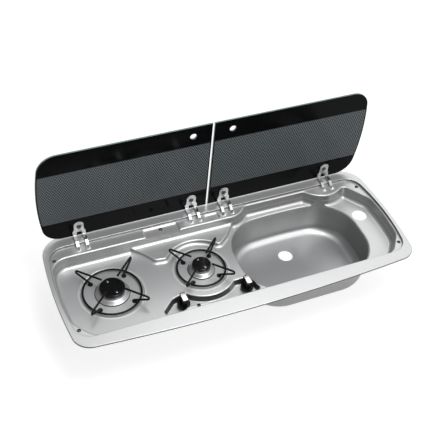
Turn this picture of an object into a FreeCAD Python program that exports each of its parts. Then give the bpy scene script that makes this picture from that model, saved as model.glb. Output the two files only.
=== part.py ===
import FreeCAD, Part
import math
import os

# Drop-in kitchen unit: a pressed stainless tray with a gas hob on the left, a sink bowl
# on the right and two glass lids that swing up at the rear. Sizes are in millimetres.
# x runs to the right, y to the rear, z up; z = 0 is the worktop that the rim seals on.

os.makedirs("parts", exist_ok=True)
V = FreeCAD.Vector

# Sheet, rim and opening
sheet = 1.0
rim_rise = 4.0
rim_half_length = 450.0
rim_half_depth = 185.0
rim_front = -rim_half_depth
rim_rear = rim_half_depth
rim_end_width = 10.5
rim_front_width = 45.4
rim_rear_width = 38.0
rim_front_bow = 19.0
rim_end_bow = 13.3
rim_front_corner = 45.0
rim_rear_corner = 64.0
rim_edge_round = 2.0
opening_half_length = rim_half_length - rim_end_width
opening_end_bow = 16.0
opening_front = rim_front + rim_front_width
opening_rear = rim_rear - rim_rear_width
opening_corner = 43.0
opening_edge_round = 1.8
seal_setback = 1.6
seal_width = 6.9

# Levels, measured down from the top of the rim
seat_depth = 7.0
deck_depth = 40.0
plateau_share = 15 / 22
plateau_depth = seat_depth + plateau_share * (deck_depth - seat_depth)
dish_drop = 1.5
dish_slope = 3.0
pocket_drop = 16.0
pocket_depth = deck_depth + pocket_drop
collar_drop = 14.0
collar_depth = deck_depth + collar_drop
bowl_depth = 130.0

# The well that holds the hob and the sink
seat_width = 4.0
seat_edge_round = 4.0
well_taper = 6.0
well_corner = 14.0
well_end_corner = 42.0
deck_foot = 9.0
plateau_taper = 3.0
plateau_foot = 9.0
plateau_edge_round = 4.0
ledge_front = opening_rear - 30.7
ledge_left = -rim_half_length + 53.0
ledge_right = 40.0
right_pad_r = 72.0
corner_ledge_x = rim_half_length - 71.5
ledge_lean = 12.0
ledge_sweep_x = 40.0
ledge_sweep_y = 9.7
ledge_sweep_end = 63.1
right_pad_inset = 7.5
right_pad_back = 34.0
front_pad_wide = 32.0
front_pad_narrow = 28.0
front_pad_reach = 5.5
rear_left_cut = 84.0
rear_right_cut = 111.0
rear_right_reach = 10.0
front_cut = 84.6
past_opening = 10.0

# Hold-down screw holes
screw_hole_r = 2.6
sleeve_r = 3.6
sleeve_flange_r = 4.8
sleeve_flange = 0.6
sleeve_skirt = 3.5
sleeve_margin = 0.7
corner_screw_x = rim_half_length - 30.0
corner_screw_rear = opening_rear - 34.0
corner_screw_front = opening_front + 30.6
centre_screw_x = -140.0
centre_screw_rear = opening_rear - 10.5
centre_screw_front = opening_front + 8.1

# Shallow pads pressed into the rear ledge for the screw and the inner hinges
pad_drop = 3.5
pad_slope = 4.0
pad_rear = centre_screw_rear + sleeve_flange_r + sleeve_margin + pad_slope
hinge_pad_front = opening_rear - 24.5
screw_pad_front = ledge_front - 12.0
screw_pad_half = 48.0
pad_corner = 6.0
hinge_pad_half = 21.0

# Burners and pan supports
burner_y = 0.0
large_from_end = 140.0
large_base = 41.5
large_cap = 31.0
large_dish = 78.0
large_ring = 70.5
large_tip = 105.5
large_foot = 59.5
small_x = -81.0
small_base = 33.0
small_cap = 23.5
small_dish = 68.0
small_ring = 60.4
small_tip = 95.5
small_foot = 48.8
large = dict(x=large_from_end - rim_half_length, base=large_base, cap=large_cap, dish=large_dish,
             ring=large_ring, tip=large_tip, foot=large_foot)
small = dict(x=small_x, base=small_base, cap=small_cap, dish=small_dish,
             ring=small_ring, tip=small_tip, foot=small_foot)
gasket = 1.0
gasket_lip = 1.4
flange = 1.6
skirt_lip = 1.5
burner_rise = 21.3
cap_top_depth = deck_depth - burner_rise
cap_height = 6.8
cap_round = 3.0
cap_screw_x = 0.18
cap_screw_y = 0.62
cap_screw_r = 1.5
cap_screw_head_r = 3.0
cap_screw_head = 1.2
crown_height = 6.7
crown_inset = 0.6
crown_slope = 1.4
flame_ports = 24
port_width = 1.6
port_height = 3.6
cup_inset = 4.0
cup_wall = 3.0
cup_drop = 34.0
cup_clearance = 0.4
injector_r = 5.5
injector_drop = 6.0
injector_stand = 2.0
injector_nose = 4.0
jet_r = 0.8
wire = 5.0
wire_bend = 5.0
finger_depth = 8.0
finger_inner = 28.0
tip_corner = 6.8
ring_weld = 0.5
foot_rise = 5.0
foot_pin = 3.0
foot_clearance = 0.3
grommet_r = 6.0
grommet_rise = 2.6
grommet_neck_r = 4.0
grommet_lip = 1.2

# Plateau behind the small burner
plateau_large_r = 143.5
plateau_small_r = 94.0
plateau_from_large = 70.0
plateau_from_small = 69.0
plateau_tip_x = 79.0
plateau_tip_y = 58.0
plateau_tip_lean = 12.0
plateau_shoulder_x = 4.7
plateau_shoulder_y = 33.3
plateau_neck_x = 29.4
plateau_neck_y = 2.8
plateau_end_x = 37.0
deck_corner = 12.0
deck_inner_corner = 7.0

# Sink bowl
bowl_left = 14.6
bowl_right = rim_half_length - 78.6
bowl_rear = opening_rear - 22.6
bowl_front = opening_front + 5.1
bowl_side_bow = 8.0
bowl_rear_bow = 13.0
bowl_corner = 0.4017 * (bowl_rear - bowl_front)
bowl_taper = 9.0
bowl_foot = 24.0
bowl_edge_round = 4.0
drain_x = (bowl_left + bowl_right) / 2 - 7.0
drain_y = bowl_rear - 80.4
drain_r = 20.0
drain_lip = 4.0
tap_x = rim_half_length - 56.0
tap_y = 39.5
tap_r = 19.75

# Controls and gas parts
knob_x = [small["x"] - 77.5, small["x"] + 89.0]
knob_y = opening_front + 55.6
knob_rise = 18.0
knob_top_depth = deck_depth - knob_rise
knob_gap = 6.0
knob_r = 16.0
knob_skirt = 6.0
grip_width = 14.0
grip_round = 1.2
face_width = 12.0
face_length = 25.0
face_round = 1.0
face_sink = 1.0
face_rise = 0.4
spindle_r = 4.0
spindle_grip = 12.0
spindle_hole_r = 5.0
spindle_room = 8.0
plug_r = 7.0
plug_height = 22.0
plug_clearance = 0.4
valve_half = 12.0
valve_height = 30.0
valve_round = 2.0
running = 0.05
pocket_burner_r = burner_y - knob_y + 4.0
pocket_left = 67.5
pocket_right = 30.0
pocket_front = 25.0
pocket_rear = 23.0
pocket_slant_x = 23.5
pocket_slant_y = 16.0
pocket_corner = 9.0
pocket_edge_round = 4.0
pocket_foot = 4.0
pocket_taper = 4.0
rail_r = 5.0
rail_seat = 1.0
rail_bend = 14.0
rail_rise = 8.0
inlet_r = 4.0
inlet_x = knob_x[0] - 39.5
inlet_y = opening_rear - 47.0
inlet_length = 26.0
feed_r = 3.0
feed_bend = 8.0
feed_turn_y = knob_y + 36.0
feed_drop = 14.0

# Lids and hinges
glass = 4.0
glass_bevel = 0.6
lid_gap = 2.3
lid_corner = 50.0
lid_rear = opening_rear - 7.0
split_gap = 5.2
lid_open = 87.0
axis_y = opening_rear + 12.7
axis_depth = 17.4
hinge_outer_x = rim_half_length - 108.5
hinge_inner_x = 45.3
finger_hole_x = 51.1
finger_hole_y = opening_front + 31.6
finger_hole_r = 8.5
leaf = 2.0
leaf_half = 12.5
leaf_flare = 16.5
flare_run = 7.0
leaf_straight = 10.0
leaf_reach = 17.5
leaf_setback = 3.5
leaf_clearance = 0.1
fork_half = 6.0
fork_depth = 10.0
arm = 3.0
arm_width = 7.5
arm_spread = 12.0
arm_bend = 4.0
neck_crest_y = opening_rear + 2.0
neck_crest = 4.4
neck_y = opening_rear - 10.2
neck_shoulder = 3.6
slot_margin = 1.0
slot_front = opening_rear - 22.0
slot_rear = opening_rear - 2.0
pin_r = 3.0
pin_clearance = 0.02
pin_head = 2.0
pin_head_r = 4.5
eye_r = 6.0
bracket = 2.0
bracket_inner = 17.5
bracket_foot = 3.0
bracket_front = 9.0
bracket_rear = 12.0
cheek_r = 7.0
bolt_back = 31.4
bolt_r = 3.0
bolt_clearance = 0.5
bolt_head = 0.7
bolt_head_r = 6.0
nut = 2.0
nut_r = 9.0


def level(depth):
    return rim_rise - depth


def region(points):
    """Flat face on z = 0; a point with four numbers starts an arc through its second pair."""
    edges = []
    count = len(points)
    for i in range(count):
        a = points[i]
        b = points[(i + 1) % count]
        start = V(a[0], a[1], 0)
        end = V(b[0], b[1], 0)
        if len(a) == 4:
            edges.append(Part.Arc(start, V(a[2], a[3], 0), end).toShape())
        else:
            edges.append(Part.makeLine(start, end))
    return Part.Face(Part.Wire(edges))


def disc(x, y, r):
    return Part.Face(Part.Wire(Part.makeCircle(r, V(x, y, 0))))


def grown(face, by):
    if abs(by) < 1e-9:
        return face
    return Part.Face(face.makeOffset2D(by).Wires[0])


def rounded(face, outer, inner):
    face = grown(grown(face, -outer), outer)
    return grown(grown(face, inner), -inner)


def two_radius(face, front, rear):
    """Round the front and the rear corners of a face to different radii."""
    middle = face.CenterOfMass.y
    tight = min(front, rear)
    wide = max(front, rear)
    corners = face.cut(grown(grown(face, -wide), wide)).Faces
    extra = [c for c in corners if (c.CenterOfMass.y < middle) == (front > rear)]
    return grown(widest(grown(grown(face, -tight), tight).cut(extra)), 0)


def softened(face, radius, chosen):
    """Round the outward corners that are chosen by their place to a larger radius."""
    corners = face.cut(grown(grown(face, -radius), radius)).Faces
    return grown(widest(face.cut([c for c in corners if chosen(c.CenterOfMass)])), 0)


def widest(shape):
    return max(shape.Faces, key=lambda f: f.Area)


def prism(face, low, high):
    base = face.copy()
    base.translate(V(0, 0, low))
    return base.extrude(V(0, 0, high - low))


def lofted(upper_face, high, lower_face, low):
    upper = upper_face.OuterWire.copy()
    upper.translate(V(0, 0, high))
    lower = lower_face.OuterWire.copy()
    lower.translate(V(0, 0, low))
    return Part.makeLoft([lower, upper], True, True)


def tapered(face, high, low, inset, foot):
    solid = lofted(face, high, grown(face, -inset), low)
    floor_edges = [e for e in solid.Edges if e.BoundBox.ZMax < low + 0.01]
    return solid.makeFillet(foot, floor_edges)


def cylinder(x, y, r, low, high):
    return Part.makeCylinder(r, high - low, V(x, y, low), V(0, 0, 1))


def cross_cylinder(x0, x1, y, z, r):
    return Part.makeCylinder(r, x1 - x0, V(x0, y, z), V(1, 0, 0))


def box(x0, x1, y0, y1, z0, z1):
    return Part.makeBox(x1 - x0, y1 - y0, z1 - z0, V(x0, y0, z0))


def turned(profile, x, y):
    """Solid of revolution about an upright axis from (radius, height) corners."""
    points = [V(r, 0, z) for r, z in profile]
    face = Part.Face(Part.makePolygon(points + [points[0]]))
    solid = face.revolve(V(0, 0, 0), V(0, 0, 1), 360)
    solid.translate(V(x, y, 0))
    return solid


def bent(points, radius):
    """Wire through the points, with every inner corner rounded to the bend radius."""
    edges = []
    last = points[0]
    for i in range(1, len(points) - 1):
        corner = points[i]
        back = (points[i - 1] - corner).normalize()
        ahead = (points[i + 1] - corner).normalize()
        half = back.getAngle(ahead) / 2
        reach = radius / math.tan(half)
        start = corner + back * reach
        end = corner + ahead * reach
        crown = corner + (back + ahead).normalize() * (radius / math.sin(half) - radius)
        edges.append(Part.makeLine(last, start))
        edges.append(Part.Arc(start, crown, end).toShape())
        last = end
    edges.append(Part.makeLine(last, points[-1]))
    return Part.Wire(edges)


def rod(points, radius, bend):
    """Round bar along a bent path."""
    section = Part.Wire(Part.makeCircle(radius, points[0], points[1] - points[0]))
    return Part.Solid(bent(points, bend).makePipeShell([section], True, False))


def joined(shapes):
    return shapes[0].fuse(shapes[1:]).removeSplitter()


def edges_on(shape, height, face):
    """Edges of the shape at one height that lie on the outline of a face."""
    outline = face.OuterWire.copy()
    outline.translate(V(0, 0, height))
    found = []
    for e in shape.Edges:
        if e.BoundBox.ZMax < height + 0.02 and e.BoundBox.ZMin > height - 0.02:
            middle = Part.Vertex(e.valueAt((e.FirstParameter + e.LastParameter) / 2))
            if outline.distToShape(middle)[0] < 0.3:
                found.append(e)
    return found


def edges_at(shape, height):
    """Edges of the shape that lie wholly at one height."""
    return [e for e in shape.Edges if abs(e.BoundBox.ZMin - height) < 0.01 and e.BoundBox.ZLength < 0.01]


def save(name, shape):
    shape.exportStep("parts/" + name + ".step")


# Outlines of the tray

rim_corner_x = rim_half_length - rim_end_bow
rim_corner_y = rim_front + rim_front_bow
rim_middle_y = (rim_corner_y + rim_rear) / 2
rim_face = two_radius(region([
    (-rim_corner_x, rim_corner_y, 0, rim_front),
    (rim_corner_x, rim_corner_y, rim_half_length, rim_middle_y),
    (rim_corner_x, rim_rear),
    (-rim_corner_x, rim_rear, -rim_half_length, rim_middle_y),
]), rim_front_corner, rim_rear_corner)

opening_corner_x = opening_half_length - opening_end_bow
opening_middle_y = (opening_front + opening_rear) / 2
opening = rounded(region([
    (-opening_corner_x, opening_front),
    (opening_corner_x, opening_front, opening_half_length, opening_middle_y),
    (opening_corner_x, opening_rear),
    (-opening_corner_x, opening_rear, -opening_half_length, opening_middle_y),
]), opening_corner, 1)

front = opening_front - past_opening
rear = opening_rear + past_opening
end = rim_half_length
left_ledge = region([
    (ledge_left + ledge_lean, rear), (ledge_left, ledge_front),
    (ledge_right, ledge_front, ledge_right + ledge_sweep_x, ledge_front + ledge_sweep_y),
    (ledge_right + ledge_sweep_end, rear),
])
right_ledge = disc(hinge_outer_x - right_pad_inset, opening_rear + right_pad_back, right_pad_r)
front_ledge = region([
    (centre_screw_x - front_pad_wide, front), (centre_screw_x + front_pad_wide, front),
    (centre_screw_x + front_pad_narrow, centre_screw_front + front_pad_reach),
    (centre_screw_x - front_pad_narrow, centre_screw_front + front_pad_reach),
])
corner_ledges = [
    region([(-end, opening_rear - rear_left_cut), (-corner_ledge_x, rear), (-end, rear)]),
    region([(end, opening_rear - rear_right_cut), (end, rear), (corner_ledge_x - rear_right_reach, rear)]),
    region([(-end, opening_front + front_cut), (-end, front), (-corner_ledge_x, front)]),
    region([(end, opening_front + front_cut), (corner_ledge_x, front), (end, front)]),
]
well_face = grown(opening, -seat_width)
for ledge in [left_ledge, right_ledge, front_ledge] + corner_ledges:
    well_face = well_face.cut(ledge)
well_face = rounded(widest(well_face.removeSplitter()), well_corner, well_corner)
well_face = softened(well_face, well_end_corner, lambda c: abs(c.x) > corner_screw_x - 25 or c.y < burner_y)

plateau_left = large["x"] + plateau_from_large
plateau_right = small["x"] + plateau_from_small
plateau_face = region([
    (plateau_left, rear), (plateau_left, burner_y + plateau_tip_y + plateau_tip_lean),
    (small["x"] - plateau_tip_x, burner_y + plateau_tip_y), (plateau_right, burner_y + plateau_tip_y),
    (bowl_left + plateau_shoulder_x, ledge_front - plateau_shoulder_y),
    (bowl_left + plateau_neck_x, ledge_front - plateau_neck_y), (bowl_left + plateau_end_x, rear),
])
plateau_face = plateau_face.cut(disc(large["x"], burner_y, plateau_large_r))
plateau_face = plateau_face.cut(disc(small["x"], burner_y, plateau_small_r))
deck_face = rounded(widest(well_face.cut(widest(plateau_face))), deck_corner, deck_inner_corner)

left, right = knob_x
pocket_face = region([
    (left - pocket_left, knob_y - pocket_front), (left - pocket_slant_x, knob_y + pocket_slant_y),
    (left, knob_y + pocket_rear), (right - knob_r / 4, knob_y + pocket_rear - 1),
    (right + 0.85 * knob_r, knob_y + pocket_slant_y + 2), (right + 1.32 * knob_r, knob_y + knob_r / 4),
    (right + 1.42 * knob_r, knob_y - knob_r / 2), (right + pocket_right, knob_y - pocket_front),
])
pocket_face = rounded(widest(pocket_face.cut(disc(small["x"], burner_y, pocket_burner_r))), pocket_corner,
                      pocket_corner)

bowl_middle_x = (bowl_left + bowl_right) / 2
bowl_middle_y = (bowl_front + bowl_rear - bowl_rear_bow) / 2
bowl_face = rounded(region([
    (bowl_left + bowl_side_bow, bowl_front),
    (bowl_right - bowl_side_bow, bowl_front, bowl_right, bowl_middle_y),
    (bowl_right - bowl_side_bow, bowl_rear - bowl_rear_bow, bowl_middle_x, bowl_rear),
    (bowl_left + bowl_side_bow, bowl_rear - bowl_rear_bow, bowl_left, bowl_middle_y),
]), bowl_corner, 1)
bowl_deck_face = grown(bowl_face, -bowl_taper * (deck_depth - seat_depth) / (bowl_depth - seat_depth))

pad_faces = []
for x, half, y in ((centre_screw_x, screw_pad_half, screw_pad_front), (0.0, hinge_pad_half, hinge_pad_front)):
    pad = region([(x - half, y), (x + half, y), (x + half, pad_rear), (x - half, pad_rear)])
    pad_faces.append(rounded(pad, pad_corner, 1))


# Pressed tray: the space above the sheet is taken out of the same form one sheet larger

def bowl_space(grow):
    return tapered(grown(bowl_face, grow), level(seat_depth), level(bowl_depth) - grow,
                   bowl_taper, bowl_foot + grow)


def bowl_mouth(grow):
    """Flare in three steps that rounds the edge between the deck and the bowl, one ring per step."""
    radius = bowl_edge_round - grow
    top = level(deck_depth) - grow
    limit = prism(grown(deck_face, grow - well_taper), level(bowl_depth), top + 0.5)
    steps = [math.radians(a) for a in (0, 30, 60, 90)]
    flare = []
    for a, b in zip(steps, steps[1:]):
        wide = grown(bowl_deck_face, grow + radius * (1 - math.sin(a)))
        narrow = grown(bowl_deck_face, grow + radius * (1 - math.sin(b)))
        high = top - radius * (1 - math.cos(a))
        low = top - radius * (1 - math.cos(b))
        flare.append(lofted(wide, high, narrow, low).common(limit))
    return flare


def recess(face, grow):
    """Shallow pad pressed into the rear ledge, with sloping sides; the screw pad runs out at the front."""
    floor_z = level(seat_depth + pad_drop) - grow
    return lofted(grown(face, grow), level(seat_depth) - grow, grown(face, grow - pad_slope), floor_z)


def tray_form(grow, top):
    seat = prism(grown(opening, grow), level(seat_depth) - grow, top)
    upper = tapered(grown(well_face, grow), level(seat_depth), level(plateau_depth) - grow,
                    plateau_taper, plateau_foot + grow)
    lower = tapered(grown(deck_face, grow), level(seat_depth), level(deck_depth) - grow,
                    well_taper, deck_foot + grow)
    pocket = tapered(grown(pocket_face, grow), level(deck_depth), level(pocket_depth) - grow,
                     pocket_taper, pocket_foot + grow)
    dishes = []
    for burner in (large, small):
        middle = V(burner["x"], burner_y, level(deck_depth + dish_drop) - grow)
        dishes.append(Part.makeCone(burner["dish"] - dish_slope, burner["dish"], dish_drop, middle))
    form = seat.fuse([upper, lower, pocket] + dishes).removeSplitter()
    for depth, face, radius in [
        (seat_depth, well_face, seat_edge_round),
        (plateau_depth, plateau_edge_face, plateau_edge_round),
        (deck_depth, pocket_face, pocket_edge_round),
    ]:
        form = form.makeFillet(radius - grow, edges_on(form, level(depth) - grow, grown(face, grow)))
    return form.fuse([recess(face, grow) for face in pad_faces])


plateau_edge_face = grown(deck_face, -well_taper * (plateau_depth - seat_depth) / (deck_depth - seat_depth))
space = tray_form(0.0, rim_rise + 20).fuse([bowl_space(0.0)] + bowl_mouth(0.0)).removeSplitter()
beyond = 2 * rim_half_length
collar = bowl_space(sheet).cut(box(-beyond, beyond, -beyond, beyond, -beyond, level(collar_depth)))
under = tray_form(sheet, rim_rise).fuse([collar] + bowl_mouth(sheet))

rim = prism(rim_face, 0, rim_rise)
rim = rim.makeFillet(rim_edge_round, [e for e in rim.Edges if e.BoundBox.ZMin > rim_rise - 0.01])
rim = rim.cut(prism(grown(rim_face, -sheet), -1, rim_rise - sheet))
tray = rim.fuse(under).cut(space).removeSplitter()
tray = tray.makeFillet(opening_edge_round, edges_on(tray, rim_rise, opening))


# Heights that several pieces share
seat_z = level(seat_depth)
deck_z = level(deck_depth)
dish_z = level(deck_depth + dish_drop)
gasket_z = dish_z + gasket
cap_z = level(cap_top_depth) - cap_height
crown_z = cap_z - crown_height
cup_z = dish_z - cup_drop
injector_z = cup_z - injector_drop
pocket_z = level(pocket_depth)
knob_low = pocket_z + knob_gap
knob_high = level(knob_top_depth)
valve_top = pocket_z - sheet
valve_low = valve_top - valve_height
gas_z = valve_low + rail_rise
plug_low = valve_top - plug_height
spindle_low = plug_low + spindle_room
spindle_high = knob_low + spindle_grip
axis_z = level(axis_depth)
under_glass = rim_rise - glass
under_leaf = under_glass - leaf
leaf_rear = lid_rear - leaf_setback
bolt_y = lid_rear - bolt_back
hinge_x = [-hinge_outer_x, -hinge_inner_x, hinge_inner_x, hinge_outer_x]
lid_limit = region([(-rim_half_length, rim_front), (rim_half_length, rim_front), (rim_half_length, lid_rear),
                    (-rim_half_length, lid_rear)])


# Holes in the tray

def foot_spots(burner):
    """Places of the four rubber feet round a burner."""
    spots = []
    for k in range(4):
        angle = math.radians(45 + 90 * k)
        x = burner["x"] + burner["foot"] * math.cos(angle)
        y = burner_y + burner["foot"] * math.sin(angle)
        spots.append((x, y))
    return spots


screw_spots = [(centre_screw_x, centre_screw_rear, seat_z - pad_drop)]
screw_spots.append((centre_screw_x, centre_screw_front, seat_z))
for side in (-1, 1):
    screw_spots.append((side * corner_screw_x, corner_screw_rear, seat_z))
    screw_spots.append((side * corner_screw_x, corner_screw_front, seat_z))
holes = [cylinder(x, y, sleeve_r + running, z - 5, rim_rise) for x, y, z in screw_spots]
slot_half = arm_width / 2 + slot_margin
for x in hinge_x:
    for middle in (x - arm_spread, x + arm_spread):
        holes.append(box(middle - slot_half, middle + slot_half, slot_front, slot_rear, seat_z - 6,
                         rim_rise - 1))
for burner in (large, small):
    cup_r = burner["cap"] - cup_inset
    holes.append(cylinder(burner["x"], burner_y, cup_r + cup_clearance, dish_z - 5, dish_z + 5))
    holes += [cylinder(x, y, grommet_neck_r, dish_z - 5, dish_z + 5) for x, y in foot_spots(burner)]
holes += [cylinder(x, knob_y, spindle_hole_r, pocket_z - 5, pocket_z + 5) for x in knob_x]
holes.append(cylinder(tap_x, tap_y, tap_r, deck_z - 5, deck_z + 5))
save("worktop_tray", tray.cut(holes))


def screw_sleeve(x, y, z):
    """Flanged black sleeve that lines a hold-down screw hole."""
    return turned([
        (screw_hole_r, z - sleeve_skirt), (sleeve_r, z - sleeve_skirt), (sleeve_r, z), (sleeve_flange_r, z),
        (sleeve_flange_r, z + sleeve_flange / 2), (sleeve_flange_r - sleeve_flange, z + sleeve_flange),
        (screw_hole_r, z + sleeve_flange),
    ], x, y)


save("screw_sleeves", Part.makeCompound([screw_sleeve(x, y, z) for x, y, z in screw_spots]))

# Sink bowl, welded to the collar of the tray, with a turned-down drain lip
floor_z = level(bowl_depth)
bowl = bowl_space(sheet).cut(bowl_space(0.0))
bowl = bowl.cut(box(-beyond, beyond, -beyond, beyond, level(collar_depth), beyond))
lip = cylinder(drain_x, drain_y, drain_r + sheet, floor_z - drain_lip, floor_z - sheet / 2)
bowl = joined([bowl, lip]).cut(cylinder(drain_x, drain_y, drain_r, floor_z - 20, floor_z + 20))
save("sink_bowl", bowl)

seal = prism(grown(rim_face, -seal_setback), 0, rim_rise - sheet)
seal = seal.cut(prism(grown(rim_face, -seal_setback - seal_width), -1, rim_rise))
save("rim_seal", seal)


# Burners with their gaskets, injectors, pan supports and rubber feet

def burner_body(burner):
    """Turned alloy casting: a conical skirt on the gasket and a cup that hangs under the deck."""
    cup_r = burner["cap"] - cup_inset
    hollow_r = cup_r - cup_wall
    bore_r = injector_r + running
    return turned([
        (bore_r, cup_z), (cup_r, cup_z), (cup_r, gasket_z), (burner["base"], gasket_z),
        (burner["base"], gasket_z + flange), (burner["base"] - flange, gasket_z + flange + flange / 2),
        (burner["cap"] + skirt_lip + 2, crown_z - 1.2), (burner["cap"] + skirt_lip, crown_z),
        (hollow_r, crown_z), (hollow_r, cup_z + cup_wall), (bore_r, cup_z + cup_wall),
    ], burner["x"], burner_y)


def burner_gasket(burner):
    ring = cylinder(burner["x"], burner_y, burner["base"] + gasket_lip, dish_z, gasket_z)
    return ring.cut(cylinder(burner["x"], burner_y, burner["cap"], dish_z - 1, gasket_z + 1))


def burner_crown(burner):
    """Ring of flame ports between the skirt and the cap."""
    hollow_r = burner["cap"] - cup_inset - cup_wall
    crown = turned([
        (hollow_r, crown_z), (burner["cap"] - crown_inset, crown_z),
        (burner["cap"] - crown_inset - crown_slope, cap_z), (hollow_r, cap_z),
    ], burner["x"], burner_y)
    ports = []
    for k in range(flame_ports):
        port = box(hollow_r - 2, burner["cap"] + 2, -port_width / 2, port_width / 2,
                   cap_z - port_height, cap_z + 1)
        port.rotate(V(0, 0, 0), V(0, 0, 1), 360.0 * k / flame_ports)
        port.translate(V(burner["x"], burner_y, 0))
        ports.append(port)
    return crown.cut(ports)


def cap_and_screws(burner):
    """Enamelled cap with a rounded rim, and the two screws that hold it."""
    top = cap_z + cap_height
    cap = cylinder(burner["x"], burner_y, burner["cap"], cap_z, top)
    cap = cap.makeFillet(cap_round, edges_at(cap, top))
    screws = []
    for side in (-1, 1):
        x = burner["x"] + side * burner["cap"] * cap_screw_x
        y = burner_y - side * burner["cap"] * cap_screw_y
        cap = cap.cut(cylinder(x, y, cap_screw_r + running, cap_z - 1, top + 1))
        head = cylinder(x, y, cap_screw_head_r, top, top + cap_screw_head)
        head = head.makeChamfer(cap_screw_head / 2, edges_at(head, top + cap_screw_head))
        screws.append(joined([head, cylinder(x, y, cap_screw_r, cap_z, top + cap_screw_head / 2)]))
    return cap, Part.makeCompound(screws)


def injector(burner):
    """Brass jet screwed into the floor of the cup."""
    shoulder = cup_z + cup_wall + injector_stand
    tip = shoulder + injector_nose
    body = cylinder(burner["x"], burner_y, injector_r, injector_z, shoulder)
    nose = cylinder(burner["x"], burner_y, injector_r / 2, shoulder - 1, tip)
    jet = cylinder(burner["x"], burner_y, jet_r, injector_z - 1, tip + 1)
    return joined([body, nose]).cut(jet)


def support_finger(burner):
    """Hairpin of round wire: in over the burner, back under itself and down into its foot."""
    return rod([
        V(finger_inner, 0, level(finger_depth)),
        V(burner["tip"] + tip_corner, 0, level(finger_depth)),
        V(burner["foot"], 0, dish_z + foot_rise),
        V(burner["foot"], 0, dish_z - foot_pin),
    ], wire / 2, wire_bend)


def ring_height(burner):
    """Level of the ring, welded to the underside of the fingers' slanting legs."""
    low = dish_z + foot_rise
    slope = (level(finger_depth) - low) / (burner["tip"] + tip_corner - burner["foot"])
    leg_z = low + slope * (burner["ring"] - burner["foot"])
    return leg_z - (wire - ring_weld) * math.hypot(1, slope)


def support_grommet(burner):
    """Rubber foot snapped into the deck, with a hole for the end of the wire."""
    hole_r = wire / 2 + foot_clearance
    lip_r = grommet_neck_r + grommet_lip
    return turned([
        (hole_r, dish_z - foot_pin - 1), (lip_r, dish_z - foot_pin - 1), (lip_r, dish_z - sheet),
        (grommet_neck_r, dish_z - sheet), (grommet_neck_r, dish_z), (grommet_r, dish_z),
        (grommet_r, dish_z + grommet_rise - 1), (grommet_r - 1, dish_z + grommet_rise),
        (hole_r, dish_z + grommet_rise),
    ], burner["foot"], 0)


def four_round(shape, burner):
    """The shape at the four diagonals of a burner."""
    copies = []
    for k in range(4):
        copy = shape.copy()
        copy.rotate(V(0, 0, 0), V(0, 0, 1), 45 + 90 * k)
        copy.translate(V(burner["x"], burner_y, 0))
        copies.append(copy)
    return Part.makeCompound(copies)


for label, burner in (("large", large), ("small", small)):
    cap, cap_screws = cap_and_screws(burner)
    save("burner_body_" + label, burner_body(burner))
    save("burner_gasket_" + label, burner_gasket(burner))
    save("burner_crown_" + label, burner_crown(burner))
    save("burner_cap_" + label, cap)
    save("cap_screws_" + label, cap_screws)
    save("injector_" + label, injector(burner))
    ring_middle = V(burner["x"], burner_y, ring_height(burner))
    save("support_ring_" + label, Part.makeTorus(burner["ring"], wire / 2, ring_middle))
    save("support_fingers_" + label, four_round(support_finger(burner), burner))
    save("support_grommets_" + label, four_round(support_grommet(burner), burner))


# Gas valves, spindles and knobs

def valve_body(x):
    front = knob_y - valve_half
    block = box(x - valve_half, x + valve_half, front, front + 2 * valve_half, valve_low, valve_top)
    block = block.makeFillet(valve_round, [e for e in block.Edges if e.BoundBox.ZLength > 1])
    return block.cut(cylinder(x, knob_y, plug_r + running, plug_low - plug_clearance, valve_top + 1))


def valve_plug(x):
    plug = cylinder(x, knob_y, plug_r, plug_low, valve_top - plug_clearance)
    return plug.cut(cylinder(x, knob_y, spindle_r + running, spindle_low - knob_gap, valve_top + 1))


def knob_face(x):
    """Bright plate let into the top of the grip."""
    half_x = face_width / 2
    half_y = face_length / 2
    outline = region([(x - half_x, knob_y - half_y), (x + half_x, knob_y - half_y),
                      (x + half_x, knob_y + half_y), (x - half_x, knob_y + half_y)])
    return prism(rounded(outline, face_round, face_round), knob_high - face_sink, knob_high + face_rise)


def knob(x):
    """Round skirt with a straight grip across it, bored for the spindle."""
    skirt = cylinder(x, knob_y, knob_r, knob_low, knob_low + knob_skirt)
    skirt = skirt.makeFillet(knob_skirt / 3, edges_at(skirt, knob_low + knob_skirt))
    half = grip_width / 2
    grip = box(x - half, x + half, knob_y - knob_r, knob_y + knob_r, knob_low, knob_high)
    grip = grip.common(cylinder(x, knob_y, knob_r - 1, knob_low, knob_high))
    body = joined([skirt, grip])
    body = body.makeFillet(grip_round, edges_at(body, knob_high))
    return body.cut([knob_face(x), cylinder(x, knob_y, spindle_r, knob_low - 1, spindle_high)])


for label, x in (("left", knob_x[0]), ("right", knob_x[1])):
    save("valve_body_" + label, valve_body(x))
    save("valve_plug_" + label, valve_plug(x))
    save("spindle_" + label, cylinder(x, knob_y, spindle_r, spindle_low, spindle_high))
    save("knob_" + label, knob(x))
    save("knob_inlay_" + label, knob_face(x))

# Gas pipes: one rail with the inlet end, and one feed for each burner

rail_y = knob_y - valve_half - rail_r + rail_seat
rail = rod([
    V(knob_x[1] + valve_half, rail_y, gas_z),
    V(inlet_x, rail_y, gas_z),
    V(inlet_x, inlet_y, gas_z),
], rail_r, rail_bend)
inlet = Part.makeCylinder(inlet_r, inlet_length + rail_r, V(inlet_x, inlet_y - rail_r, gas_z), V(0, 1, 0))
save("gas_rail", joined([rail, inlet]))
for label, burner, x in (("large", large, knob_x[0]), ("small", small, knob_x[1])):
    save("feed_pipe_" + label, rod([
        V(x, knob_y + valve_half, gas_z),
        V(x, feed_turn_y, gas_z),
        V(x, feed_turn_y, injector_z - feed_drop),
        V(burner["x"], burner_y, injector_z - feed_drop),
        V(burner["x"], burner_y, injector_z),
    ], feed_r, feed_bend))


# Lids: made closed, then swung up about the hinge axis

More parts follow.
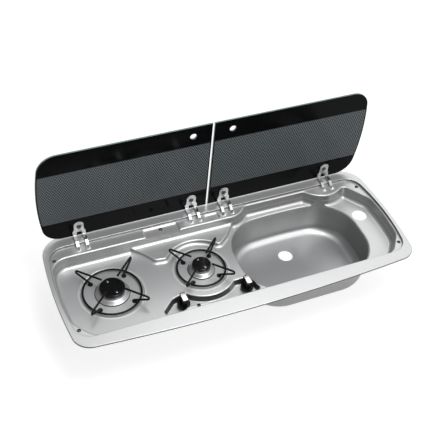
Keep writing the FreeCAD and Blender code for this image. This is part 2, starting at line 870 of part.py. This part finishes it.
def opened(shape):
    shape.rotate(V(0, axis_y, axis_z), V(1, 0, 0), -lid_open)
    return shape


def open_point(x, y, z):
    """Where a point of the closed lid is when the lid stands open."""
    turn = math.radians(-lid_open)
    dy = y - axis_y
    dz = z - axis_z
    open_y = axis_y + dy * math.cos(turn) - dz * math.sin(turn)
    open_z = axis_z + dy * math.sin(turn) + dz * math.cos(turn)
    return V(x, open_y, open_z)


def lid_glass(side, xs):
    """One pane: its half of the opening, with a finger hole and holes for the hinge bolts."""
    inner = side * split_gap / 2
    far = side * 2 * opening_half_length
    front = 2 * opening_front
    half = region([(inner, front), (far, front), (far, lid_rear), (inner, lid_rear)])
    outline = rounded(widest(grown(opening, -lid_gap).common(lid_limit)), lid_corner, 1)
    pane = prism(widest(outline.common(half)), under_glass, rim_rise)
    pane = pane.makeChamfer(glass_bevel, [e for e in pane.Edges if e.BoundBox.ZLength < 0.01])
    low = under_glass - 1
    high = rim_rise + 1
    holes = [cylinder(side * finger_hole_x, finger_hole_y, finger_hole_r, low, high)]
    holes += [cylinder(x, bolt_y, bolt_r + bolt_clearance, low, high) for x in xs]
    return pane.cut(holes)


def hinge_bolt(x):
    head = cylinder(x, bolt_y, bolt_head_r, under_leaf - bolt_head, under_leaf)
    shank = cylinder(x, bolt_y, bolt_r, under_leaf - bolt_head / 2, rim_rise + nut / 2)
    return joined([head, shank])


def hinge_nut(x):
    disc_nut = cylinder(x, bolt_y, nut_r, rim_rise, rim_rise + nut)
    disc_nut = disc_nut.makeChamfer(nut / 3, edges_at(disc_nut, rim_rise + nut))
    return disc_nut.cut(cylinder(x, bolt_y, bolt_r, rim_rise - 1, rim_rise + nut / 2))


def hinge_leaf(x):
    """Flat plate under the glass: round end at the bolt, flared and forked at the rear."""
    end_y = bolt_y - leaf_reach + leaf_half
    flare_y = bolt_y + leaf_straight
    outline = region([
        (x - leaf_half, end_y, x, end_y - leaf_half), (x + leaf_half, end_y), (x + leaf_half, flare_y),
        (x + leaf_flare, flare_y + flare_run), (x + leaf_flare, leaf_rear), (x - leaf_flare, leaf_rear),
        (x - leaf_flare, flare_y + flare_run), (x - leaf_half, flare_y),
    ])
    fork = region([(x - fork_half, leaf_rear - fork_depth), (x + fork_half, leaf_rear - fork_depth),
                   (x + fork_half, leaf_rear + 1), (x - fork_half, leaf_rear + 1)])
    outline = outline.cut([fork, disc(x, bolt_y, bolt_r + leaf_clearance)])
    return prism(outline, under_leaf, under_glass)


def hinge_neck(x):
    """Gooseneck of flat bar: over the edge of the opening, down its slot and back to the pivot eye."""
    root_y = leaf_rear - fork_depth
    path = bent([
        open_point(x, root_y, under_glass - arm / 2),
        open_point(x, leaf_rear - 0.6, under_glass - arm / 2),
        V(x, neck_crest_y, rim_rise + neck_crest),
        V(x, neck_y, level(neck_shoulder)),
        V(x, neck_y, axis_z),
        V(x, axis_y - eye_r + 1, axis_z),
    ], arm_bend)
    low = open_point(x, root_y, under_glass - arm)
    high = open_point(x, root_y, under_glass)
    half = V(arm_width / 2, 0, 0)
    section = Part.makePolygon([low - half, low + half, high + half, high - half, low - half])
    neck = Part.Solid(path.makePipeShell([section], True, False))
    return joined([neck, cross_cylinder(x - arm_width / 2, x + arm_width / 2, axis_y, axis_z, eye_r)])


def hinge_arm(x):
    pieces = [opened(hinge_leaf(x)), hinge_neck(x - arm_spread), hinge_neck(x + arm_spread)]
    return joined(pieces).cut(cross_cylinder(x - leaf_flare, x + leaf_flare, axis_y, axis_z, pin_r + running))


def hinge_bracket(x):
    """Pressed U under the rear rim that carries the pivot pin."""
    top = rim_rise - sheet
    reach = bracket_inner + bracket
    foot = reach + bracket_foot
    pieces = [box(x - foot, x + foot, axis_y - bracket_front, axis_y + bracket_rear, top - bracket, top)]
    for low_x in (x - reach, x + bracket_inner):
        high_x = low_x + bracket
        pieces.append(box(low_x, high_x, axis_y - cheek_r, axis_y + cheek_r, axis_z, top - bracket / 2))
        pieces.append(cross_cylinder(low_x, high_x, axis_y, axis_z, cheek_r))
    pin_hole = cross_cylinder(x - reach - 1, x + reach + 1, axis_y, axis_z, pin_r + pin_clearance)
    return joined(pieces).cut(pin_hole)


def hinge_pin(x):
    reach = bracket_inner + bracket
    pin = cross_cylinder(x - reach - 1, x + reach + 1, axis_y, axis_z, pin_r)
    left_head = cross_cylinder(x - reach - pin_head, x - reach, axis_y, axis_z, pin_head_r)
    right_head = cross_cylinder(x + reach, x + reach + pin_head, axis_y, axis_z, pin_head_r)
    return joined([pin, left_head, right_head])


for side, label in ((-1, "left"), (1, "right")):
    xs = [side * hinge_outer_x, side * hinge_inner_x]
    save("lid_glass_" + label, opened(lid_glass(side, xs)))
    save("hinge_bolts_" + label, Part.makeCompound([opened(hinge_bolt(x)) for x in xs]))
    save("hinge_nuts_" + label, Part.makeCompound([opened(hinge_nut(x)) for x in xs]))
    save("hinge_arm_" + label + "_outer", hinge_arm(xs[0]))
    save("hinge_arm_" + label + "_inner", hinge_arm(xs[1]))
    save("hinge_brackets_" + label, Part.makeCompound([hinge_bracket(x) for x in xs]))
    save("hinge_pins_" + label, Part.makeCompound([hinge_pin(x) for x in xs]))
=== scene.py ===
import math

import bpy
from mathutils import Matrix, Vector


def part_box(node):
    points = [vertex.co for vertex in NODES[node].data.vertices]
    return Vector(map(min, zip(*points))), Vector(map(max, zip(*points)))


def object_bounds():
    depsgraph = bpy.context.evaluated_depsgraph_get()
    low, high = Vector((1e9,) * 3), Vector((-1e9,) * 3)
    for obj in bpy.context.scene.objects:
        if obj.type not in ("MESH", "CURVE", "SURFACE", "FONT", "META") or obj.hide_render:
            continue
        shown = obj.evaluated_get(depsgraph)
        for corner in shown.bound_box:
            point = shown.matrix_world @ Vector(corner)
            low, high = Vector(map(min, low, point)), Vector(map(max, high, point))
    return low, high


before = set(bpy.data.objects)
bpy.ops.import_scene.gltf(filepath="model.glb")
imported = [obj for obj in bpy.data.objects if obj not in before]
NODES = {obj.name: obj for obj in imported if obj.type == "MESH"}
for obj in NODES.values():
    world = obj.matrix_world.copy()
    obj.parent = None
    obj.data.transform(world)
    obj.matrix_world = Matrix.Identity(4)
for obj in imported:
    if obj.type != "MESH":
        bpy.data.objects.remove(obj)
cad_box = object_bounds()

# Camera: the photograph's viewing angle, in metres and degrees, and the lens and film in millimetres
CAMERA_PLACE = Vector((-0.6361, -1.2329, 1.4585))
CAMERA_YAW = 26.222
CAMERA_PITCH = 44.567
CAMERA_ROLL = 5.075
CAMERA_LENS = 64.94
CAMERA_FILM = 36.0

# Lids: lean in degrees, and printed zones in metres up from the hinge edge; the outer end is an arc
LID_LEAN = 3.0
BAND_LOW = 0.0595
BAND_HIGH = 0.2183
LID_BORDER = 0.0035
LID_END_RADIUS = 0.6474
LID_END_CENTRE_X = -0.2102
LID_END_CENTRE_UP = 0.1363
DOT_ALONG = 0.0059
DOT_ROWS = 0.0102
DOT_RADIUS = 0.0023
DOT_SOFTNESS = 0.0003
GLASS_BLACK = (0.003, 0.0032, 0.0036)
GLASS_DOTS = (0.145, 0.165, 0.172)
GLASS_EDGE = (0.20, 0.26, 0.25)
GLASS_EDGE_FACING = 0.9

# Pressed steel: base tones, and painted shade and painted highlight laid over the sheet by height, by place
# and by how far the surface faces up
TRAY_TONE = (0.76, 0.765, 0.77)
BOWL_TONE = (0.66, 0.67, 0.675)
# Painted shade: steep walls are darkened over this range of facing up
WALL_FACING = (0.2, 0.8)
PAINTED_WALL_SHADE = 0.36
# Painted shade: undersides of the tray and the outside of the bowl are darkened
OUTSIDE_FACING = -0.02
PAINTED_OUTSIDE_SHADE = 0.3
# Painted shade: a dark line on the rim's edge, above this height and below this facing up
RIM_ABOVE = 0.0
RIM_FACING = 0.75
PAINTED_RIM_SHADE = 0.12
# Painted highlight: a white band round each dish on the deck
DECK_BELOW = -0.035
DISHES = (("large", 0.0785), ("small", 0.0685))
DISH_EDGE = (0.0015, 0.005)
PAINTED_DISH_HIGHLIGHT = 1.0

# Painted shade on the walls of the knob pocket: the bowl's collar, further right and facing right, lies past
# the limit
POCKET_BELOW = -0.0378
POCKET_REAR = -0.055
POCKET_LEAN = 5.0
POCKET_LIMIT = 0.3
POCKET_FACING = (0.6, 0.95)
PAINTED_POCKET_SHADE = 0.12

# Wear: share of fine lines in the pattern, tones against the plain one, and spacing of turned rings
GRAIN_SHARE = 0.4
STEEL_DARK = 0.95
METAL_DARK = 0.9
COATING_LIGHT = 1.5
COATING_LIFT = 0.004
RING_PITCH = 0.0011

# Studio sky: brightness at the sine of each height above the horizon, and from the left to the right
SKY_RISE = ((0.0, 0.45), (0.3, 0.55), (0.6, 0.8), (0.8, 0.95), (1.0, 1.0))
SKY_ACROSS = ((0.0, 0.2), (0.5, 0.26), (0.57, 0.5), (0.64, 1.05), (0.72, 0.8), (1.0, 0.4))
SKY_STRENGTH = 1.5

# Soft boxes: place and width in metres, and power in watts; all are aimed at the frame's origin
SOFT_BOXES = (
    ("front_box", (0.6, -2.2, 1.9), 1.1, 18.0),
    ("top_box", (0.2, -0.45, 2.4), 0.9, 18.0),
    ("rear_box", (0.7, 1.7, 2.3), 1.4, 4.0),
)

# Floor: pale paper that glows a little, just under the lowest point of the unit
FLOOR_SIZE = 24.0
FLOOR_GAP = 0.001
FLOOR_TONES = (0.40, 0.43)
FLOOR_GLOW = 0.73

SIDES = ("left", "right")
SIZES = ("large", "small")


def centre_of(node):
    low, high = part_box(node)
    return (low + high) / 2


def new_material(name, **constants):
    """Principled material; the constants go on the shader's own sockets."""
    material = bpy.data.materials.new(name)
    material.use_nodes = True
    shader = material.node_tree.nodes["Principled BSDF"]
    for socket, value in constants.items():
        shader.inputs[socket.replace("_", " ")].default_value = value
    return material, material.node_tree, shader


def feed(tree, socket, value):
    """Links the value, or sets it where it is a constant."""
    if isinstance(value, bpy.types.NodeSocket):
        tree.links.new(value, socket)
    else:
        socket.default_value = value


def calc(tree, operation, first, second=0.0, third=0.0):
    node = tree.nodes.new("ShaderNodeMath")
    node.operation = operation
    for socket, value in zip(node.inputs, (first, second, third)):
        feed(tree, socket, value)
    return node.outputs[0]


def over(tree, value, limit):
    return calc(tree, "GREATER_THAN", value, limit)


def under(tree, value, limit):
    return calc(tree, "LESS_THAN", value, limit)


def overlap(tree, first, *others):
    """Mask that is 1 where all the given masks are 1."""
    for other in others:
        first = calc(tree, "MULTIPLY", first, other)
    return first


def hypotenuse(tree, first, second):
    squares = [calc(tree, "MULTIPLY", side, side) for side in (first, second)]
    return calc(tree, "SQRT", calc(tree, "ADD", *squares))


def place(tree, scale=(1, 1, 1), shift=(0, 0, 0)):
    """Coordinates of the piece itself, in metres, stretched and shifted."""
    coordinates = tree.nodes.new("ShaderNodeTexCoord")
    mapping = tree.nodes.new("ShaderNodeMapping")
    mapping.inputs["Scale"].default_value = scale
    mapping.inputs["Location"].default_value = shift
    tree.links.new(coordinates.outputs["Object"], mapping.inputs["Vector"])
    return mapping.outputs["Vector"]


def part_of(tree, kind, axis):
    """One axis of the piece's own coordinates or normal."""
    coordinates = tree.nodes.new("ShaderNodeTexCoord")
    split = tree.nodes.new("ShaderNodeSeparateXYZ")
    tree.links.new(coordinates.outputs[kind], split.inputs[0])
    return split.outputs[axis]


def facing_along(tree, direction):
    """How far the surface faces along a direction, as a dot product."""
    coordinates = tree.nodes.new("ShaderNodeTexCoord")
    node = tree.nodes.new("ShaderNodeVectorMath")
    node.operation = "DOT_PRODUCT"
    tree.links.new(coordinates.outputs["Normal"], node.inputs[0])
    feed(tree, node.inputs[1], direction)
    return node.outputs["Value"]


def radius_about(tree, axis):
    """Distance from an upright axis through a point."""
    return hypotenuse(tree, calc(tree, "SUBTRACT", part_of(tree, "Object", "X"), axis.x),
                      calc(tree, "SUBTRACT", part_of(tree, "Object", "Y"), axis.y))


def noise(tree, vector, scale, detail=3.0):
    node = tree.nodes.new("ShaderNodeTexNoise")
    node.inputs["Scale"].default_value = scale
    node.inputs["Detail"].default_value = detail
    tree.links.new(vector, node.inputs["Vector"])
    return node.outputs["Fac"]


def spread(tree, value, low, high, source=(0.3, 0.7)):
    """Takes the source range of a value to the range from low to high; a noise lies mostly in 0.3 to 0.7."""
    node = tree.nodes.new("ShaderNodeMapRange")
    feed(tree, node.inputs["Value"], value)
    node.inputs["From Min"].default_value = source[0]
    node.inputs["From Max"].default_value = source[1]
    node.inputs["To Min"].default_value = low
    node.inputs["To Max"].default_value = high
    return node.outputs["Result"]


def fade(tree, value, source):
    """Mask that falls from 1 to 0 over the source range."""
    return spread(tree, value, 1.0, 0.0, source)


def ramp(tree, value, stops):
    """Grey level that runs through the stops, each a place from 0 to 1 and its level."""
    node = tree.nodes.new("ShaderNodeValToRGB")
    elements = node.color_ramp.elements
    elements[0].color = (*[stops[0][1]] * 3, 1.0)
    elements[1].color = (*[stops[-1][1]] * 3, 1.0)
    for spot, level in stops[1:-1]:
        elements.new(spot).color = (*[level] * 3, 1.0)
    tree.links.new(value, node.inputs["Fac"])
    return node.outputs["Color"]


def blend(tree, factor, first, second):
    node = tree.nodes.new("ShaderNodeMix")
    node.data_type = "RGBA"
    feed(tree, node.inputs["Factor"], factor)
    for socket, colour in ((node.inputs[6], first), (node.inputs[7], second)):
        feed(tree, socket, colour if isinstance(colour, bpy.types.NodeSocket) else (*colour, 1.0))
    return node.outputs[2]


def colour_by(tree, shader, pattern, first, second):
    tree.links.new(blend(tree, pattern, first, second), shader.inputs["Base Color"])


def rough_by(tree, shader, pattern, low, high, **source):
    tree.links.new(spread(tree, pattern, low, high, **source), shader.inputs["Roughness"])


def bump(tree, shader, height, strength, distance):
    node = tree.nodes.new("ShaderNodeBump")
    node.inputs["Strength"].default_value = strength
    node.inputs["Distance"].default_value = distance
    tree.links.new(height, node.inputs["Height"])
    tree.links.new(node.outputs["Normal"], shader.inputs["Normal"])


def darker(tone, share):
    return [level * share for level in tone]


def brushed_steel(name, tone, rough, stretch, metallic=1.0):
    """Satin stainless sheet: fine lines along the sheet and soft cloudy wear."""
    material, tree, shader = new_material(name, Metallic=metallic)
    grain = noise(tree, place(tree, stretch), scale=1.0, detail=2.0)
    clouds = noise(tree, place(tree), scale=7.0, detail=2.0)
    wear = calc(tree, "MULTIPLY_ADD", grain, GRAIN_SHARE, calc(tree, "MULTIPLY", clouds, 1.0 - GRAIN_SHARE))
    colour_by(tree, shader, wear, darker(tone, STEEL_DARK), tone)
    rough_by(tree, shader, wear, rough - 0.02, rough + 0.02)
    bump(tree, shader, grain, strength=0.02, distance=0.0001)
    return material


def paint_light_or_shade(tree, mask, shade):
    """Paints light or shade: lays a grey tone over the base colour where the mask is 1."""
    socket = tree.nodes["Principled BSDF"].inputs["Base Color"]
    tree.links.new(blend(tree, mask, socket.links[0].from_socket, (shade, shade, shade)), socket)


def tray_steel():
    """Satin sheet with painted shade on the steep walls and underside, a painted dark line of shade at the
    rim's edge, painted shade on the knob pocket walls and a painted highlight round the dishes.
    """
    material = brushed_steel("tray_steel", TRAY_TONE, rough=0.38, stretch=(30, 1500, 1500), metallic=0.66)
    tree = material.node_tree
    height = part_of(tree, "Object", "Z")
    facing = part_of(tree, "Normal", "Z")
    across = part_of(tree, "Object", "X")
    bowl_side = calc(tree, "MULTIPLY_ADD", across, POCKET_LEAN, part_of(tree, "Normal", "X"))
    # Painted shade on the knob pocket walls
    pocket = overlap(
        tree,
        under(tree, height, POCKET_BELOW),
        under(tree, part_of(tree, "Object", "Y"), POCKET_REAR),
        under(tree, bowl_side, POCKET_LIMIT),
        fade(tree, facing, POCKET_FACING),
    )
    # Painted dark line of shade along the rim's edge
    rim = overlap(tree, over(tree, height, RIM_ABOVE), under(tree, facing, RIM_FACING))
    # Painted shade on steep walls
    paint_light_or_shade(tree, fade(tree, facing, WALL_FACING), PAINTED_WALL_SHADE)
    paint_light_or_shade(tree, rim, PAINTED_RIM_SHADE)
    paint_light_or_shade(tree, pocket, PAINTED_POCKET_SHADE)
    # Painted highlight round each dish
    for size, radius in DISHES:
        off = calc(tree, "SUBTRACT", radius_about(tree, centre_of("burner_body_" + size)), radius)
        edge = fade(tree, calc(tree, "ABSOLUTE", off), DISH_EDGE)
        paint_light_or_shade(tree, overlap(tree, edge, under(tree, height, DECK_BELOW)), PAINTED_DISH_HIGHLIGHT)
    # Painted shade on the underside
    paint_light_or_shade(tree, under(tree, facing, OUTSIDE_FACING), PAINTED_OUTSIDE_SHADE)
    return material


def bowl_steel():
    """Satin bowl with painted shade on the steep walls and on the outside; outside is where the surface
    faces away from the middle.
    """
    material = brushed_steel("bowl_steel", BOWL_TONE, rough=0.40, stretch=(60, 60, 900), metallic=0.9)
    tree = material.node_tree
    away = facing_along(tree, place(tree, shift=-centre_of("sink_bowl")))
    # Painted shade on steep walls
    paint_light_or_shade(tree, fade(tree, part_of(tree, "Normal", "Z"), WALL_FACING), PAINTED_WALL_SHADE)
    # Painted shade on the outside
    paint_light_or_shade(tree, over(tree, away, 0.0), PAINTED_OUTSIDE_SHADE)
    return material


def turned_metal(name, tone, rough, axis):
    """Machined metal with fine rings round an upright axis."""
    material, tree, shader = new_material(name, Metallic=1.0)
    rings = calc(tree, "SINE", calc(tree, "MULTIPLY", radius_about(tree, axis), math.tau / RING_PITCH))
    clouds = noise(tree, place(tree), scale=25.0)
    colour_by(tree, shader, clouds, darker(tone, METAL_DARK), tone)
    rough_by(tree, shader, rings, rough - 0.04, rough + 0.04, source=(-1.0, 1.0))
    return material


def coated(name, tone, rough, grain_scale, relief, coat=0.0, specular=0.5):
    """Enamel, rubber or moulded plastic: even colour with a fine grain."""
    material, tree, shader = new_material(name, Coat_Weight=coat, Specular_IOR_Level=specular)
    grain = noise(tree, place(tree), grain_scale)
    clouds = noise(tree, place(tree), scale=35.0)
    colour_by(tree, shader, clouds, tone, [level * COATING_LIGHT + COATING_LIFT for level in tone])
    rough_by(tree, shader, grain, rough - 0.05, rough + 0.05)
    bump(tree, shader, grain, relief, distance=0.0003)
    return material


def plated(name, tone, rough):
    """Bright plated or polished metal with faint polishing marks."""
    material, tree, shader = new_material(name, Metallic=1.0)
    marks = noise(tree, place(tree, (300, 300, 60)), scale=1.0)
    colour_by(tree, shader, marks, darker(tone, METAL_DARK), tone)
    rough_by(tree, shader, marks, rough - 0.04, rough + 0.05)
    bump(tree, shader, marks, strength=0.04, distance=0.0002)
    return material


def grid_distance(tree, along, up, shift):
    """Distance to the nearest point of a grid; a second grid shifted by half staggers the rows."""
    offsets = []
    for value, pitch in ((along, DOT_ALONG), (up, DOT_ROWS)):
        cell = calc(tree, "FRACT", calc(tree, "ADD", calc(tree, "DIVIDE", value, pitch), shift))
        offsets.append(calc(tree, "MULTIPLY", calc(tree, "SUBTRACT", cell, 0.5), pitch))
    return hypotenuse(tree, *offsets)


def printed_glass():
    """Dark glass: black bands and border, a field of small grey dots, pale polished edges."""
    material, tree, shader = new_material("printed_glass", Specular_IOR_Level=0.04)
    low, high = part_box("lid_glass_left")
    lean = math.radians(LID_LEAN)
    side = calc(tree, "ABSOLUTE", part_of(tree, "Object", "X"))
    rise = calc(tree, "SUBTRACT", part_of(tree, "Object", "Z"), low.z)
    up = calc(tree, "DIVIDE", rise, math.cos(lean))
    reach = hypotenuse(tree, calc(tree, "SUBTRACT", side, LID_END_CENTRE_X),
                       calc(tree, "SUBTRACT", up, LID_END_CENTRE_UP))
    grids = [grid_distance(tree, side, up, shift) for shift in (0.0, 0.5)]
    dots = overlap(
        tree,
        over(tree, up, BAND_LOW),
        under(tree, up, BAND_HIGH),
        over(tree, side, LID_BORDER - high.x),
        under(tree, reach, LID_END_RADIUS - LID_BORDER),
        fade(tree, calc(tree, "MINIMUM", *grids), (DOT_RADIUS - DOT_SOFTNESS, DOT_RADIUS + DOT_SOFTNESS)),
    )
    flat = calc(tree, "ABSOLUTE", facing_along(tree, (0.0, math.cos(lean), math.sin(lean))))
    edge = under(tree, flat, GLASS_EDGE_FACING)
    colour_by(tree, shader, edge, blend(tree, dots, GLASS_BLACK, GLASS_DOTS), GLASS_EDGE)
    rough_by(tree, shader, noise(tree, place(tree), scale=20.0), 0.08, 0.16)
    return material


def dress(material, *names):
    for name in names:
        mesh = NODES[name].data
        mesh.materials.clear()
        mesh.materials.append(material)


def each(stem, ends):
    return [stem + end for end in ends]


def steel_and_glass():
    dress(tray_steel(), "worktop_tray")
    dress(bowl_steel(), "sink_bowl")
    dress(brushed_steel("hidden_steel", (0.50, 0.51, 0.52), rough=0.35, stretch=(60, 60, 200)),
          *each("hinge_brackets_", SIDES), *each("hinge_pins_", SIDES), *each("spindle_", SIDES))
    dress(printed_glass(), *each("lid_glass_", SIDES))


def bright_metals():
    dress(plated("hinge_chrome", (0.52, 0.52, 0.53), rough=0.28),
          *[f"hinge_arm_{side}_{spot}" for side in SIDES for spot in ("inner", "outer")])
    dress(plated("bright_plate", (0.82, 0.82, 0.83), rough=0.10),
          *each("knob_inlay_", SIDES), *each("cap_screws_", SIZES), *each("hinge_nuts_", SIDES))
    dress(plated("pipe_metal", (0.60, 0.61, 0.62), rough=0.30), "gas_rail", *each("feed_pipe_", SIZES))
    dress(plated("brass", (0.62, 0.45, 0.19), rough=0.28),
          *each("valve_body_", SIDES), *each("valve_plug_", SIDES), *each("injector_", SIZES))
    for size in SIZES:
        axis = centre_of("burner_body_" + size)
        skirt = turned_metal("skirt_" + size, (0.78, 0.78, 0.79), rough=0.42, axis=axis)
        crown = turned_metal("crown_" + size, (0.34, 0.34, 0.35), rough=0.38, axis=axis)
        dress(skirt, "burner_body_" + size)
        dress(crown, "burner_crown_" + size)


def black_pieces():
    dress(coated("black_finish", (0.02, 0.02, 0.021), rough=0.35, grain_scale=800.0, relief=0.1, coat=0.2),
          *each("hinge_bolts_", SIDES))
    dress(coated("support_enamel", (0.004, 0.004, 0.0045), rough=0.34, grain_scale=600.0, relief=0.08,
                 specular=0.18),
          *each("support_ring_", SIZES), *each("support_fingers_", SIZES))
    dress(coated("cap_enamel", (0.003, 0.003, 0.0035), rough=0.16, grain_scale=300.0, relief=0.03, coat=0.1,
                 specular=0.3),
          *each("burner_cap_", SIZES))
    dress(coated("rubber", (0.008, 0.008, 0.008), rough=0.7, grain_scale=900.0, relief=0.2, specular=0.2),
          "rim_seal", "screw_sleeves", *each("support_grommets_", SIZES), *each("burner_gasket_", SIZES))
    dress(coated("knob_black", (0.004, 0.004, 0.0045), rough=0.28, grain_scale=900.0, relief=0.06,
                 specular=0.25),
          *each("knob_", SIDES))


def paper_floor():
    bpy.ops.mesh.primitive_plane_add(size=FLOOR_SIZE, location=(0, 0, cad_box[0].z - FLOOR_GAP))
    floor = bpy.context.object
    floor.name = "floor"
    paper, tree, shader = new_material("floor_paper", Roughness=0.6, Specular_IOR_Level=0.2,
                                       Emission_Color=(1.0, 1.0, 1.0, 1.0), Emission_Strength=FLOOR_GLOW)
    tones = [(tone, tone, tone) for tone in FLOOR_TONES]
    colour_by(tree, shader, noise(tree, place(tree), scale=0.8), *tones)
    floor.data.materials.append(paper)


def sky():
    """Soft light from all round: brighter from above, and brightest from a little right of the middle."""
    world = bpy.data.worlds.new("studio")
    world.use_nodes = True
    tree = world.node_tree
    background = tree.nodes["Background"]
    from_left = calc(tree, "MULTIPLY_ADD", part_of(tree, "Generated", "X"), 0.5, 0.5)
    across = ramp(tree, from_left, SKY_ACROSS)
    rise = ramp(tree, part_of(tree, "Generated", "Z"), SKY_RISE)
    tree.links.new(calc(tree, "MULTIPLY", across, rise), background.inputs["Color"])
    background.inputs["Strength"].default_value = SKY_STRENGTH
    bpy.context.scene.world = world
    bpy.context.scene.view_settings.view_transform = "Standard"


def soft_boxes():
    for name, spot, width, power in SOFT_BOXES:
        light = bpy.data.lights.new(name, "AREA")
        light.size = width
        light.energy = power
        lamp = bpy.data.objects.new(name, light)
        lamp.location = spot
        lamp.rotation_euler = (-Vector(spot)).to_track_quat("-Z", "Y").to_euler()
        bpy.context.scene.collection.objects.link(lamp)


def camera():
    yaw, pitch, roll = (math.radians(angle) for angle in (CAMERA_YAW, CAMERA_PITCH, CAMERA_ROLL))
    flat = math.cos(pitch)
    forward = Vector((math.sin(yaw) * flat, math.cos(yaw) * flat, -math.sin(pitch)))
    sideways = Vector((math.cos(yaw), -math.sin(yaw), 0))
    right = sideways * math.cos(roll) + sideways.cross(forward) * math.sin(roll)
    up = right.cross(forward)
    turn = Matrix((right, up, -forward)).transposed()
    lens = bpy.data.cameras.new("camera")
    lens.lens = CAMERA_LENS
    lens.sensor_width = CAMERA_FILM
    eye = bpy.data.objects.new("camera", lens)
    eye.matrix_world = Matrix.Translation(CAMERA_PLACE) @ turn.to_4x4()
    bpy.context.scene.collection.objects.link(eye)
    bpy.context.scene.camera = eye


steel_and_glass()
bright_metals()
black_pieces()
paper_floor()
sky()
soft_boxes()
camera()
